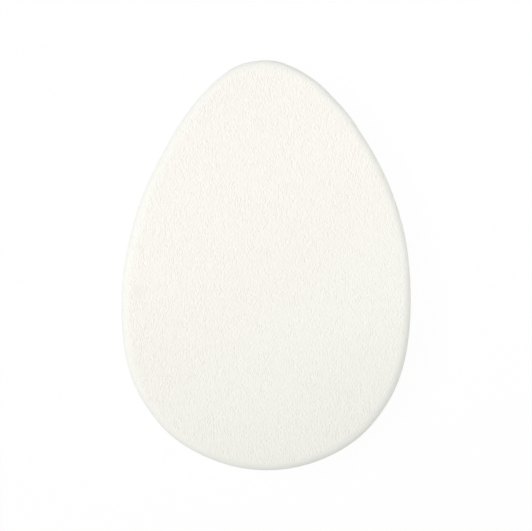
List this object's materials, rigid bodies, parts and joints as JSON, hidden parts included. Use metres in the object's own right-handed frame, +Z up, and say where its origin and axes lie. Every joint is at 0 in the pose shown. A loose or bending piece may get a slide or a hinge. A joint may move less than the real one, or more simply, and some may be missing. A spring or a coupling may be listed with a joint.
{
  "type": "makeup sponge",
  "caption": "Flat egg-shaped foam pad with rounded edges, held between the fingers to dab and spread makeup with either face, the edge or the narrow end.",
  "frame": {"origin": "under the middle of the pad's length and width, on the flat face that it rests on", "axes": "+Z up, square to both faces; +Y from the broad end to the narrow end; +X across the pad"},
  "size_m": [0.051, 0.072, 0.008],
  "materials": {
    "foam": "matte ivory open-cell foam, with a cut grain on both faces and a smoother buffed rim"
  },
  "bodies": {
    "root": {"foam_pad": "foam"}
  },
  "joints": []
}
